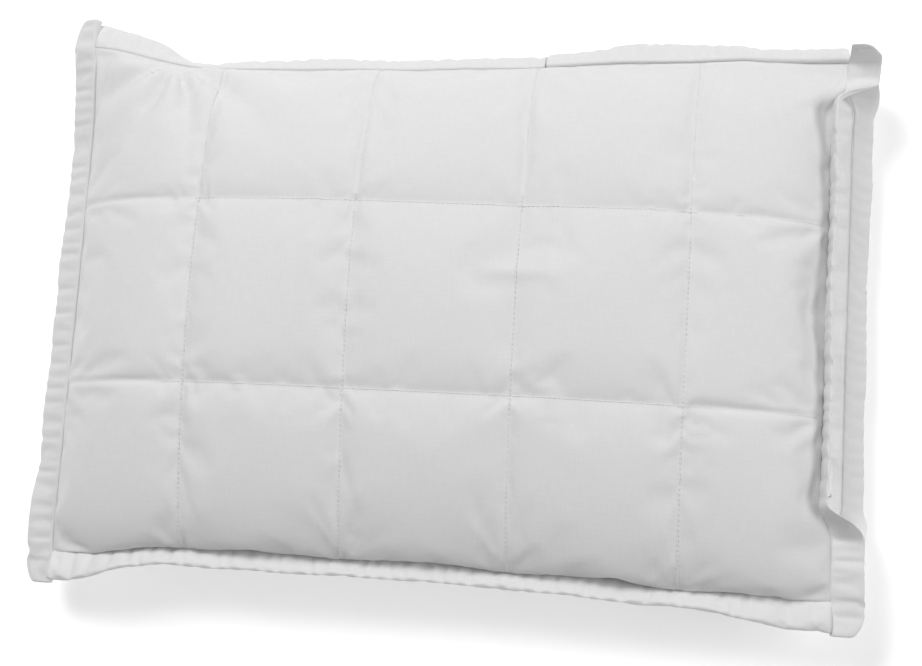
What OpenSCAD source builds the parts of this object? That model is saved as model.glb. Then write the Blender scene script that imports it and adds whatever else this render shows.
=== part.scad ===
// Bed pillow: a removable quilted cover with a flat border, closed by a zip at one short end,
// around a plain pillow insert. It lies on its back: +Z up, X along its length, Y across it,
// origin on the ground under the middle. The zipped end is +X and the head of the bed is +Y.

/* [Cover] */
// Length of the filled cover between its end seams
cover_l = 624; // [400:1:900]
// Width of the filled cover between its long seams
cover_w = 424; // [300:1:650]
// Height of the border seam above the ground
seam_h = 56; // [40:1:90]
// Rise of the front above the border seam
front_rise = 66; // [30:1:110]
// How far the long seams are drawn in at mid length
long_seam_pull = 9; // [0:0.5:20]
// How far the end seams are drawn in at mid width
end_seam_pull = 3; // [0:0.5:6]
// Curl of the two head corners, up from the seam
head_corner_lift = 6; // [-6:0.5:10]
// Sag of the two foot corners, down from the seam
foot_corner_sag = 8; // [0:0.5:15]

/* [Quilting] */
// Quilted columns along the length
columns = 5; // [3:1:7]
// Quilted rows across the width
rows = 3; // [2:1:5]
// Width of an end column, as a share of an inner one
end_column_share = 0.89; // [0.7:0.01:1.2]
// Width of an edge row, as a share of an inner one
edge_row_share = 0.93; // [0.7:0.01:1.2]
// Swell of each quilted square above its stitch lines
quilt_swell = 5; // [1:0.5:9]
// Grid steps across each quilted square
steps = 5; // [3:1:6]

/* [Fabric] */
// Thickness of the woven face fabric
face_t = 0.6; // [0.4:0.1:1.2]
// Thickness of the wadding where it is stitched down
wadding_t = 0.8; // [0.5:0.1:2]
// Thickness of the lining
lining_t = 0.5; // [0.3:0.1:1]
// Thickness of the insert's casing
casing_t = 0.5; // [0.3:0.1:1]
// Thickness of the sewing thread
thread_t = 0.7; // [0.5:0.1:1.2]

/* [Border] */
// Width of the border beyond the seam
border_w = 25; // [15:1:40]
// Thickness of the border at its padded middle
border_t = 7; // [5:0.5:10]
// Thickness of the border along its outer edge
border_edge_t = 3; // [2.5:0.5:5]
// Lean of the closed borders, up from level
border_lean = 6; // [-10:1:20]
// Lean of the front layer where the end border gapes
gape_lean = 62; // [40:1:70]
// Place of the join in the head border, measured from the middle
border_join_x = 70; // [-100:5:100]

/* [Insert] */
// Gap between the insert's end and the front seam where the end border gapes
insert_end_clear = 1.6; // [1.5:0.1:20]
// Gap between the insert's sides and the side seams
insert_side_clear = 10.6; // [6:0.2:30]
// Gap between the lining and the insert
insert_gap = 0.4; // [0.3:0.1:2]

/* [Zip] */
// From the zip's chain to the head end of the seam
zip_head_margin = 36; // [36:1:80]
// From the zip's chain to the foot end of the seam
zip_foot_margin = 77; // [48:1:130]
// Height from the chain to each seam it closes
zip_half_gap = 9; // [8:0.5:12]
// Reach from the chain out to each seam it closes
zip_half_reach = 7; // [6:0.5:10]
// Radius of each coil
coil_r = 1.1; // [0.8:0.1:1.4]
// Space between the two coils
coil_gap = 1; // [0.8:0.1:1.4]
// Thickness of the tapes
tape_t = 0.6; // [0.4:0.1:1]
// Length of the slider
slider_l = 10; // [8:0.5:14]
// Width of the slider
slider_w = 8.6; // [8:0.1:10]
// Thickness of the slider's two plates
plate_t = 1; // [0.8:0.1:1.4]
// Clearance between the slider and what it runs on
slide_gap = 0.35; // [0.3:0.05:0.6]
// Length of the puller from its pin
puller_l = 21; // [14:0.5:24]
// Width of the puller
puller_w = 5.4; // [4.5:0.1:6.5]
// Radius of the puller's pin
pin_r = 0.7; // [0.6:0.05:0.9]
// Running clearance around the pin
pin_gap = 0.08; // [0.05:0.01:0.1]

/* [Hidden] */
$fn = 32;
white = "#f4f4f2";
filling = "#ececea";
steel = "#b9bcc0";

half_l = cover_l / 2;
half_w = cover_w / 2;
ground_skin = 3;        // least height of the back lining's upper side above the ground
back_reach = 6;         // how far the free back would hang below the ground
long_power = 4;         // fullness of the crown along the length
cross_power = 2.6;      // fullness of the crown across the width
crown_power = 0.62;     // steepness of the crown at the seams
swell_power = 0.7;
end_reach = 8;          // how sharply the split at the zipped end fades inwards
head_fade = 19;         // lengths over which the seams part beyond the zip's two tape ends
foot_fade = 40;
curl_long_power = 4;
curl_cross_power = 8;
curl_limit = 1.6;
curl_floor = 0.01;      // below this share a point keeps its height, so the ground patch stays flat
tape_end = 8;           // plain tape beyond each end of the chain
stack_t = face_t + wadding_t + lining_t;
layer_gap = 0.15;

zip_lo = zip_foot_margin - half_w;
zip_hi = half_w - zip_head_margin;
zip_x = half_l - end_seam_pull - zip_half_reach;
zip_tilt = atan2(zip_half_gap, zip_half_reach);
zip_reach = norm([zip_half_gap, zip_half_reach]);
insert_x_share = 1 - (2 * zip_half_reach + insert_end_clear) / half_l;
insert_y_share = 1 - insert_side_clear / half_w;
coil_x = coil_gap / 2 + coil_r;
coil_top = tape_t / 2 + 2 * coil_r;

// ---- Places on the quilted grid ----

// Steps and square widths add up to a run of stations from -1 to 1.
function square_ends(n, share) =
    let(whole = n - 2 + 2 * share)
    [for (i = [0 : n]) i == 0 ? -1 : i == n ? 1 : -1 + 2 * (share + i - 1) / whole];
function stations(n, share) =
    let(e = square_ends(n, share))
    [for (i = [0 : n * steps]) let(k = min(floor(i / steps), n - 1), f = i / steps - k) e[k] + f * (e[k + 1] - e[k])];
U = stations(columns, end_column_share);
V = stations(rows, edge_row_share);
nu = len(U) - 1;
nv = len(V) - 1;

function smooth(t) = let(c = min(1, max(0, t))) c * c * (3 - 2 * c);
function within_square(i) = 2 * ((i % steps) / steps) - 1;
function square_bump(i) = pow(1 - pow(within_square(i), 2), swell_power);
function swell(i, j) = quilt_swell * square_bump(i) * square_bump(j);
function crown(u, v) =
    pow(max(0, 1 - pow(abs(u), long_power)), crown_power)
    * pow(max(0, 1 - pow(abs(v), cross_power)), crown_power);

// The seams part by 1 along the zip and by 0 beyond it.
// The seams stand fully apart from the grid line before the zip's tapes to the one after them.
split_lo = max([for (v = V) if (v * half_w <= zip_lo - tape_end) v * half_w]);
split_hi = min([for (v = V) if (v * half_w >= zip_hi + tape_end) v * half_w]);
function split(y) = smooth((y - split_lo) / foot_fade + 1) * smooth((split_hi - y) / head_fade + 1);
function split_at(u, v) = u > 0 ? split(v * half_w) * pow(u, end_reach) : 0;

function curl_share(x, y) =
    let(p = pow(abs(x) / half_l, curl_long_power) * pow(abs(y) / half_w, curl_cross_power))
    p < curl_floor ? 0 : min(curl_limit, p);
// The seams stay straight along the zip, whose tapes are straight.
function curl(x, y) =
    (y > 0 ? head_corner_lift : -foot_corner_sag) * curl_share(x, y) * (x > 0 ? 1 - split(y) : 1);

function end_x(v) = half_l - end_seam_pull * (1 - pow(min(1, abs(v)), 6));
function long_y(u) = half_w - long_seam_pull * (1 - pow(min(1, abs(u)), 2));

// Where grid corner i, j stands in plan, on the front or on the back.
function plan_x(u, v, front) = u * end_x(v) - (front ? 2 * zip_half_reach * split_at(u, v) : 0);
function plan_y(u, v) = v * long_y(u);

// Inner face of each half of the cover.
function front_in(u, v) = seam_h + front_rise * crown(u, v) + zip_half_gap * split_at(u, v);
function back_in(u, v) =
    max(ground_skin, seam_h - (seam_h + back_reach) * crown(u, v) - zip_half_gap * split_at(u, v));

// Points of one layer at corner i, j of the grid, at height z before the corners curl.
function front_pt(i, j, z) =
    let(x = plan_x(U[i], V[j], true), y = plan_y(U[i], V[j])) [x, y, z + curl(x, y)];
function back_pt(i, j, z) =
    let(x = plan_x(U[i], V[j], false), y = plan_y(U[i], V[j])) [x, y, z + curl(x, y)];
function insert_pt(i, j, z) =
    let(x = U[i] * end_x(V[j]) * insert_x_share, y = plan_y(U[i], V[j]) * insert_y_share) [x, y, z + curl(x, y)];

// Heights of the surfaces between the layers, from the inside out.
function front_lining_top(i, j) = front_in(U[i], V[j]) + lining_t;
function front_wadding_top(i, j) = front_lining_top(i, j) + wadding_t + swell(i, j);
function front_top(i, j) = front_wadding_top(i, j) + face_t;
function back_free(i, j) = back_in(U[i], V[j]) - stack_t - swell(i, j);
function back_low(i, j) = max(0, back_free(i, j));
function insert_high(i, j) = front_in(U[i], V[j]) - insert_gap;
function insert_low(i, j) = back_in(U[i], V[j]) + insert_gap;
// The casing's two halves meet at mid height along its own edge.
function on_edge(i, j) = i == 0 || i == nu || j == 0 || j == nv;
function fill_high(i, j) = on_edge(i, j) ? seam_h : max(seam_h, insert_high(i, j) - casing_t);
function fill_low(i, j) = on_edge(i, j) ? seam_h : min(seam_h, insert_low(i, j) + casing_t);

// ---- Builders ----

// Faces of a four-sided patch, split along its first diagonal.
function quad(a, b, c, d) = [[a, b, c], [a, c, d]];
function at(i, j, base) = base + i * (nv + 1) + j;

// Each cell's diagonal runs towards the middle of the grid, so that the corners close cleanly.
function cell(a, b, c, d, inward, up) =
    inward
        ? (up ? [[a, d, c], [a, c, b]] : [[a, b, c], [a, c, d]])
        : (up ? [[a, d, b], [b, d, c]] : [[a, b, d], [b, c, d]]);
function cells(base, up) = [
    for (i = [0 : nu - 1], j = [0 : nv - 1])
        each cell(at(i, j, base), at(i + 1, j, base), at(i + 1, j + 1, base), at(i, j + 1, base),
                  (i < nu / 2) == (j < nv / 2), up)
];
function side(p, q, low) = quad(p, q, q + low, p + low);
function rim(low) = [
    for (i = [0 : nu - 1]) each side(at(i, 0, 0), at(i + 1, 0, 0), low),
    for (j = [0 : nv - 1]) each side(at(nu, j, 0), at(nu, j + 1, 0), low),
    for (i = [nu : -1 : 1]) each side(at(i, nv, 0), at(i - 1, nv, 0), low),
    for (j = [nv : -1 : 1]) each side(at(0, j, 0), at(0, j - 1, 0), low)
];

// One layer between an upper and a lower surface. Without a rim the two surfaces share their edge.
module layer(upper, lower, rimmed = true) {
    low = (nu + 1) * (nv + 1);
    polyhedron(
        points = [
            for (i = [0 : nu], j = [0 : nv]) upper(i, j),
            for (i = [0 : nu], j = [0 : nv]) lower(i, j)
        ],
        faces = concat(cells(0, true), cells(low, false), rimmed ? rim(low) : []));
}

// A solid through a run of rings, each a list of points that turn clockwise as seen from the last ring.
function ring_sides(n, k, from) = [
    for (s = [0 : k - 2], p = [0 : n - 1])
        let(q = (p + 1) % n, a = from + s * n)
        each quad(a + p, a + q, a + n + q, a + n + p)
];
function cap(n, from) = [
    for (p = [0 : n / 2 - 2]) each quad(from + p, from + p + 1, from + n - 2 - p, from + n - 1 - p)
];
function turned(faces) = [for (f = faces) [for (m = [len(f) - 1 : -1 : 0]) f[m]]];
function joined(rings) = [for (r = rings) each r];

module sweep(rings) {
    n = len(rings[0]);
    k = len(rings);
    polyhedron(
        points = joined(rings),
        faces = concat(
            ring_sides(n, k, 0),
            turned(cap(n, 0)),
            cap(n, (k - 1) * n)));
}

// A tube, open at both ends, between outer and inner rings.
module tube(outer, inner) {
    n = len(outer[0]);
    k = len(outer);
    inside = n * k;
    last = (k - 1) * n;
    polyhedron(
        points = concat(joined(outer), joined(inner)),
        faces = concat(
            ring_sides(n, k, 0),
            turned(ring_sides(n, k, inside)),
            [for (p = [0 : n - 1]) let(q = (p + 1) % n) each turned(quad(p, q, inside + q, inside + p))],
            [for (p = [0 : n - 1]) let(q = (p + 1) % n, a = last)
                each quad(a + p, a + q, inside + a + q, inside + a + p)]));
}

// ---- Border strips ----

// A station on a border is [foot of the strip, direction out, direction up, share above its foot].
// The strip is thin at its seam and at its outer edge, and padded between. Its seam side is upright,
// to meet the edges of the layers it is sewn to.
border_in_t = 2 * stack_t;
function strip_ring(st, inset, scale) =
    let(d = [inset, border_w / 2, border_w - inset],
        t = [border_in_t * scale, border_t * scale, border_edge_t * scale],
        hi = [for (k = [0 : 2]) [d[k], t[k] * st[3] - inset]],
        lo = [for (k = [2 : -1 : 0]) [d[k], t[k] * (st[3] - 1) + inset]])
    [for (p = concat(hi, lo)) st[0] + p[0] * st[1] + p[1] * (p[0] == inset ? [0, 0, 1] : st[2])];
module strip_casing(run, scale = 1) {
    tube([for (st = run) strip_ring(st, 0, scale)], [for (st = run) strip_ring(st, face_t, scale)]);
}
module strip_wadding(run, scale = 1) {
    sweep([for (st = run) strip_ring(st, face_t, scale)]);
}

// End borders run the whole width, corners included, so they carry on past the last stitch row.
end_run = concat([-1 - border_w / half_w], V, [1 + border_w / half_w]);
function clamp_v(v) = min(1, max(-1, v));
function end_y(v) = abs(v) > 1 ? v * half_w : v * long_y(1);
function lean(out, a) = out * cos(a) + [0, 0, sin(a)];
function rise(out, a) = -out * sin(a) + [0, 0, cos(a)];

function left_station(v) =
    let(x = -end_x(clamp_v(v)), y = end_y(v), out = [-1, 0, 0])
    [[x, y, seam_h + curl(x, y)], lean(out, border_lean), rise(out, border_lean), 0.5];
left_border = [for (v = end_run) left_station(v)];

// The long borders run between the end borders.
function foot_station(u) =
    let(x = u * end_x(1), y = -long_y(u), out = [0, -1, 0])
    [[x, y, seam_h + curl(x, y)], lean(out, border_lean), rise(out, border_lean), 0.5];
foot_border = [for (i = [nu : -1 : 0]) foot_station(U[i])];

function head_station(u) =
    let(x = u * end_x(1), y = long_y(u), out = [0, 1, 0])
    [[x, y, seam_h + curl(x, y)], lean(out, border_lean), rise(out, border_lean), 0.5];
join_u = border_join_x / end_x(1);
head_left_border = [for (u = concat([for (a = U) if (a < join_u - 0.01) a], [join_u])) head_station(u)];
head_right_border = [for (u = concat([join_u], [for (a = U) if (a > join_u + 0.01) a])) head_station(u)];

// At the zipped end the front layer stands up off the back one along the zip.
function gape(y) = border_lean + (gape_lean - border_lean) * split(y);
function zip_front_station(v) =
    let(y = end_y(v), s = split(y), a = gape(y), out = [1, 0, 0],
        x = end_x(clamp_v(v)) - 2 * zip_half_reach * s,
        z = seam_h + zip_half_gap * s + layer_gap)
    [[x, y, z + curl(end_x(clamp_v(v)), y)], lean(out, a), rise(out, a), 1];
function zip_back_station(v) =
    let(y = end_y(v), s = split(y), a = border_lean * (1 - s), out = [1, 0, 0], x = end_x(clamp_v(v)))
    [[x, y, seam_h - zip_half_gap * s - layer_gap + curl(x, y)], lean(out, a), rise(out, a), 0];
zip_end_run = [for (k = [len(end_run) - 1 : -1 : 0]) end_run[k]];
zip_front_border = [for (v = zip_end_run) zip_front_station(v)];
zip_back_border = [for (v = zip_end_run) zip_back_station(v)];

// ---- Thread ----

thread_w = 1.2;
thread_foot_w = 0.3;    // narrow underneath, to sit down in the valley of the stitch line
thread_lift = 0.06;
function thread_ring(p, across, up, high) = [
    p - across * thread_w / 2 + up * (thread_lift + high),
    p + across * thread_w / 2 + up * (thread_lift + high),
    p + across * thread_foot_w / 2 + up * thread_lift,
    p - across * thread_foot_w / 2 + up * thread_lift
];
// Stitch lines over one face: face_pt gives a point at i, j and up is +1 on the front and -1 below.
module quilting(face_pt, up) {
    z = [0, 0, up];
    for (c = [1 : columns - 1])
        sweep([for (j = [0 : nv]) thread_ring(face_pt(c * steps, up > 0 ? nv - j : j), [1, 0, 0], z, thread_t)]);
    for (r = [1 : rows - 1])
        sweep([for (i = [0 : nu])
            thread_ring(face_pt(up > 0 ? i : nu - i, r * steps), [0, 1, 0], z, thread_t - thread_lift)]);
}

// ---- Zip ----

slider_y = zip_lo + slider_l / 2 + 1;
pivot_y = slider_y - 2;
plate_low = coil_top + slide_gap;
plate_high = plate_low + plate_t;
pivot_z = plate_high + pin_r + 0.8;
rail_in = coil_x + coil_r + slide_gap;
lug_in = 1.75;
lug_out = 2.7;
bore_r = pin_r + pin_gap;
stop_w = 2;
stop_l = 2.5;
tape_edge_gap = 0.4;

// Local frame of the zip: X across it towards the back seam, Y along it, Z out of it.
module at_zip(y = 0) {
    translate([zip_x, y, seam_h]) rotate([0, zip_tilt, 0]) children();
}
module box(x0, x1, y0, y1, z0, z1) {
    translate([x0, y0, z0]) cube([x1 - x0, y1 - y0, z1 - z0]);
}
module round_plate(w, l, r, z0, z1) {
    box(-w / 2 + r, w / 2 - r, -l / 2, l / 2, z0, z1);
    box(-w / 2, w / 2, -l / 2 + r, l / 2 - r, z0, z1);
    for (x = [-1, 1], y = [-1, 1])
        translate([x * (w / 2 - r), y * (l / 2 - r), z0]) cylinder(r = r, h = z1 - z0);
}
module tape(sign) {
    far = zip_reach - tape_edge_gap;
    near = coil_gap / 2 + 0.2;
    x = sign > 0 ? [near, far] : [-far, -near];
    at_zip() box(x[0], x[1], zip_lo - tape_end, zip_hi + tape_end, -tape_t / 2, tape_t / 2);
}
module coil(sign) {
    at_zip() translate([sign * coil_x, zip_lo, tape_t / 2 + coil_r]) rotate([-90, 0, 0])
        cylinder(r = coil_r, h = zip_hi - zip_lo);
}

// ---- Parts ----

module front_face_fabric() {
    color(white) layer(function(i, j) front_pt(i, j, front_top(i, j)),
                       function(i, j) front_pt(i, j, front_wadding_top(i, j)));
}
module front_wadding() {
    color(filling) layer(function(i, j) front_pt(i, j, front_wadding_top(i, j)),
                         function(i, j) front_pt(i, j, front_lining_top(i, j)));
}
module front_lining() {
    color(white) layer(function(i, j) front_pt(i, j, front_lining_top(i, j)),
                       function(i, j) front_pt(i, j, front_in(U[i], V[j])));
}
module front_quilting_thread() {
    color(white) quilting(function(i, j) front_pt(i, j, front_top(i, j)), 1);
}
// The ground cuts the swelling underside off flat, where the pillow's weight presses it.
module back_face_fabric() {
    color(white) intersection() {
        layer(function(i, j) back_pt(i, j, back_low(i, j) + face_t),
              function(i, j) back_pt(i, j, back_free(i, j)));
        box(-cover_l, cover_l, -cover_w, cover_w, 0, 2 * seam_h);
    }
}
module back_wadding() {
    color(filling) layer(function(i, j) back_pt(i, j, back_in(U[i], V[j]) - lining_t),
                         function(i, j) back_pt(i, j, back_low(i, j) + face_t));
}
module back_lining() {
    color(white) layer(function(i, j) back_pt(i, j, back_in(U[i], V[j])),
                       function(i, j) back_pt(i, j, back_in(U[i], V[j]) - lining_t));
}
module back_quilting_thread() {
    color(white) quilting(function(i, j) back_pt(i, j, back_low(i, j)), -1);
}

module border_left() { color(white) strip_casing(left_border); }
module border_left_wadding() { color(filling) strip_wadding(left_border); }
module border_foot() { color(white) strip_casing(foot_border); }
module border_foot_wadding() { color(filling) strip_wadding(foot_border); }
module border_head_left() { color(white) strip_casing(head_left_border); }
module border_head_left_wadding() { color(filling) strip_wadding(head_left_border); }
module border_head_right() { color(white) strip_casing(head_right_border); }
module border_head_right_wadding() { color(filling) strip_wadding(head_right_border); }
module border_zip_front() { color(white) strip_casing(zip_front_border, 0.5); }
module border_zip_front_wadding() { color(filling) strip_wadding(zip_front_border, 0.5); }
module border_zip_back() { color(white) strip_casing(zip_back_border, 0.5); }
module border_zip_back_wadding() { color(filling) strip_wadding(zip_back_border, 0.5); }

module insert_casing_front() {
    color(white) layer(function(i, j) insert_pt(i, j, max(fill_high(i, j) + casing_t, insert_high(i, j))),
                       function(i, j) insert_pt(i, j, fill_high(i, j)));
}
module insert_casing_back() {
    color(white) layer(function(i, j) insert_pt(i, j, fill_low(i, j)),
                       function(i, j) insert_pt(i, j, min(fill_low(i, j) - casing_t, insert_low(i, j))));
}
module insert_fibre_fill() {
    color(filling) layer(function(i, j) insert_pt(i, j, fill_high(i, j)),
                         function(i, j) insert_pt(i, j, fill_low(i, j)), false);
}

module zip_tape_front() { color(white) tape(-1); }
module zip_tape_back() { color(white) tape(1); }
module zip_coil_front() { color(white) coil(-1); }
module zip_coil_back() { color(white) coil(1); }
module zip_closed_end_stops() {
    color(steel) at_zip() for (s = [0, 1]) mirror([s, 0, 0])
        box(coil_gap / 2 + 0.2, coil_gap / 2 + 0.2 + stop_w, zip_lo - 0.5 - stop_l, zip_lo - 0.5, tape_t / 2, coil_top);
}
module zip_open_end_stop() {
    w = coil_gap / 2 + 0.2 + stop_w;
    color(steel) at_zip() box(-w, w, zip_hi + 0.5, zip_hi + 0.5 + stop_l, tape_t / 2, coil_top);
}
// Two plates joined by a thin post between the coils, rails down both sides, and lugs for the puller.
module zip_slider() {
    post_w = coil_gap / 2 - slide_gap;
    color(steel) at_zip(slider_y) difference() {
        union() {
            round_plate(slider_w, slider_l, 2, plate_low, plate_high);
            round_plate(slider_w, slider_l, 2, -tape_t / 2 - slide_gap - plate_t, -tape_t / 2 - slide_gap);
            box(-post_w, post_w, -slider_l / 2, -slider_l / 2 + 2, -tape_t / 2 - slide_gap - plate_t, plate_high);
            for (s = [0, 1]) mirror([s, 0, 0]) {
                box(rail_in, slider_w / 2, -slider_l / 2 + 2, slider_l / 2 - 2, tape_t / 2 + slide_gap, plate_high);
                translate([lug_in, pivot_y - slider_y, 0]) {
                    box(0, lug_out - lug_in, -1.5, 1.5, plate_low, pivot_z);
                    translate([0, 0, pivot_z]) rotate([0, 90, 0]) cylinder(r = 1.5, h = lug_out - lug_in);
                }
            }
        }
        translate([-slider_w, pivot_y - slider_y, pivot_z]) rotate([0, 90, 0])
            cylinder(r = bore_r, h = 2 * slider_w);
    }
}
// A flat tab on a cross pin that turns in the slider's lugs.
module zip_puller() {
    root_w = 2 * (lug_in - slide_gap);
    tab_t = 1.2;
    tab_start = 2.5;
    color(steel) at_zip(pivot_y) translate([0, 0, pivot_z]) {
        translate([-lug_out, 0, 0]) rotate([0, 90, 0]) cylinder(r = pin_r, h = 2 * lug_out);
        box(-root_w / 2, root_w / 2, 0, tab_start, -tab_t / 2, tab_t / 2);
        translate([0, (tab_start + puller_l) / 2, 0])
            round_plate(puller_w, puller_l - tab_start, puller_w / 2 - 0.5, -tab_t / 2, tab_t / 2);
    }
}

front_face_fabric();
front_wadding();
front_lining();
front_quilting_thread();
back_face_fabric();
back_wadding();
back_lining();
back_quilting_thread();
border_left();
border_left_wadding();
border_foot();
border_foot_wadding();
border_head_left();
border_head_left_wadding();
border_head_right();
border_head_right_wadding();
border_zip_front();
border_zip_front_wadding();
border_zip_back();
border_zip_back_wadding();
insert_casing_front();
insert_casing_back();
insert_fibre_fill();
zip_tape_front();
zip_tape_back();
zip_coil_front();
zip_coil_back();
zip_closed_end_stops();
zip_open_end_stop();
zip_slider();
zip_puller();
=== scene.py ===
"""A bed pillow: a quilted and bordered cover with a zipped end, closed over a filled insert."""

import logging
import math
from collections.abc import Callable
from dataclasses import dataclass, field
from enum import Enum

import bmesh
import bpy
import numpy as np
from mathutils import Matrix, Vector, noise


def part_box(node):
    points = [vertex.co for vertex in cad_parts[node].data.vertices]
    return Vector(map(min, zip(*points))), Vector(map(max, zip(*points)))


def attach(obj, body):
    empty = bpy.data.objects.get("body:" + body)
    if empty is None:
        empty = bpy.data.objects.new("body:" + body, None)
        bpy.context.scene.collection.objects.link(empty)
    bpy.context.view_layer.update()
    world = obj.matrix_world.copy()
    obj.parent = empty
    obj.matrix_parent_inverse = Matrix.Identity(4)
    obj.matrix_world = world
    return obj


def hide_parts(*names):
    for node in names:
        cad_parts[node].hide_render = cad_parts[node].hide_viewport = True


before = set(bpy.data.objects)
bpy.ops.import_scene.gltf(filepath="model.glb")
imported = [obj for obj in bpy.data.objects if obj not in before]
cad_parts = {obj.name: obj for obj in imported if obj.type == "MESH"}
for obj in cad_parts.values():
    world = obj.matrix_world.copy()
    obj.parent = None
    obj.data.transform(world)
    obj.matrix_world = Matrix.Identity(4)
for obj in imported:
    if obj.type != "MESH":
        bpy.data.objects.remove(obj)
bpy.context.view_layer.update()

MM = 0.001
BODY = "pillow"

logging.basicConfig(level=logging.INFO, format="%(name)s: %(message)s")
log = logging.getLogger("bed_pillow")

# ---------------------------------------------------------------- small helpers


def smooth(t: float) -> float:
    """Eases from 0 at t = 0 to 1 at t = 1, and stays there."""
    t = min(1.0, max(0.0, t))
    return t * t * (3 - 2 * t)


def ripple(point: Vector, scale: float, seed: float = 0.0) -> float:
    """Smooth noise from -1 to 1.

    Args:
        point: where it is read, in metres.
        scale: the size of one bump, in metres.
        seed: picks another field of the same kind.

    Returns:
        The noise there.
    """
    return noise.noise(Vector(point) / scale + Vector((seed, 2.7 * seed, -1.3 * seed)))


def along(stops: tuple[tuple[float, float], ...], t: float) -> float:
    """Eases through a few chosen values.

    Args:
        stops: pairs of a place and the value there, in order.
        t: the place asked for.

    Returns:
        The value at t, with no slope at the stops.
    """
    for (a, first), (b, second) in zip(stops, stops[1:]):
        if t <= b:
            return first + (second - first) * smooth((t - a) / (b - a))
    return stops[-1][1]


def new_object(name: str, bm: bmesh.types.BMesh,
               material: bpy.types.Material | None = None) -> bpy.types.Object:
    """Turns a bmesh into an object in the scene.

    Args:
        name: the piece's name.
        bm: its shape, which is freed.
        material: its finish.

    Returns:
        The object, with smooth faces.
    """
    mesh = bpy.data.meshes.new(name)
    bm.to_mesh(mesh)
    bm.free()
    for face in mesh.polygons:
        face.use_smooth = True
    obj = bpy.data.objects.new(name, mesh)
    bpy.context.collection.objects.link(obj)
    if material is not None:
        mesh.materials.append(material)
    return obj


def add_wall(obj: bpy.types.Object, thickness: float) -> None:
    """Gives a sheet its thickness, inwards from the face that shows."""
    solid = obj.modifiers.new("thickness", "SOLIDIFY")
    solid.thickness = thickness
    solid.offset = -1.0
    solid.use_even_offset = False


def subdivide(obj: bpy.types.Object, levels: int = 1) -> None:
    """Rounds a mesh with a subdivision surface."""
    rounder = obj.modifiers.new("rounding", "SUBSURF")
    rounder.levels = levels
    rounder.render_levels = levels
    rounder.use_limit_surface = False


def finish_piece(obj: bpy.types.Object, slot: str, *nodes: str) -> bpy.types.Object:
    """Puts a piece in the frame.

    Args:
        obj: the piece, in its place.
        slot: the name of a material slot; not used.
        nodes: the CAD nodes it stands for.

    Returns:
        The piece.
    """
    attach(obj, BODY)
    if nodes:
        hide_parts(*nodes)
    return obj


# ---------------------------------------------------------------- lattices of cloth


@dataclass
class Lattice:
    """A sheet of cloth as a grid of squares, whose points are known by row and column."""

    obj: bpy.types.Object
    index: np.ndarray

    @classmethod
    def made(cls, name: str, nx: int, ny: int, place: Callable[[int, int], Vector],
             flat: tuple[float, float], outward: Vector) -> "Lattice":
        """Builds the sheet.

        Args:
            name: the piece's name.
            nx: squares along.
            ny: squares across.
            place: gives the point at column i and row j.
            flat: the cut's length and width in metres, which its texture coordinates follow.
            outward: a direction that its outer side faces.

        Returns:
            The lattice.
        """
        bm = bmesh.new()
        bmesh.ops.create_grid(bm, x_segments=nx, y_segments=ny, size=1.0)
        index = np.zeros((nx + 1, ny + 1), int)
        bm.verts.index_update()
        grid = {}
        for vert in bm.verts:
            i = round((vert.co.x + 1) / 2 * nx)
            j = round((vert.co.y + 1) / 2 * ny)
            index[i, j] = vert.index
            grid[vert] = (i / nx * flat[0], j / ny * flat[1])
            vert.co = place(i, j)
        layer = bm.loops.layers.uv.new("flat")
        for face in bm.faces:
            for loop in face.loops:
                loop[layer].uv = grid[loop.vert]
        bm.normal_update()
        facing = sum((face.normal * face.calc_area() for face in bm.faces), Vector())
        if facing.dot(outward) < 0:
            bmesh.ops.reverse_faces(bm, faces=bm.faces[:])
        return cls(new_object(name, bm), index)

    def points(self) -> np.ndarray:
        """The sheet's points, by column and row."""
        co = np.empty(len(self.obj.data.vertices) * 3)
        self.obj.data.vertices.foreach_get("co", co)
        return co.reshape(-1, 3)[self.index]

    def normals(self) -> np.ndarray:
        """The outward directions at the points, by column and row."""
        no = np.empty(len(self.obj.data.vertices) * 3)
        self.obj.data.vertices.foreach_get("normal", no)
        return no.reshape(-1, 3)[self.index]

    def move(self, points: np.ndarray) -> None:
        """Puts the sheet's points at new places."""
        co = np.empty((len(self.obj.data.vertices), 3))
        co[self.index] = points
        self.obj.data.vertices.foreach_set("co", co.ravel())
        self.obj.data.update()


def between(name: str, upper: np.ndarray, lower: np.ndarray) -> bpy.types.Object:
    """A closed pad between two lattices of points.

    Args:
        name: the piece's name.
        upper: the upper side's points, by column and row.
        lower: the lower side's points.

    Returns:
        The pad.
    """
    bm = bmesh.new()
    nx, ny = upper.shape[0] - 1, upper.shape[1] - 1
    for points in (upper, lower):
        for vert in bmesh.ops.create_grid(bm, x_segments=nx, y_segments=ny, size=1.0)["verts"]:
            i = round((vert.co.x + 1) / 2 * nx)
            j = round((vert.co.y + 1) / 2 * ny)
            vert.co = Vector(points[i, j])
    rims = [edge for edge in bm.edges if edge.is_boundary]
    bmesh.ops.bridge_loops(bm, edges=rims)
    bmesh.ops.recalc_face_normals(bm, faces=bm.faces[:])
    return new_object(name, bm)


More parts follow.
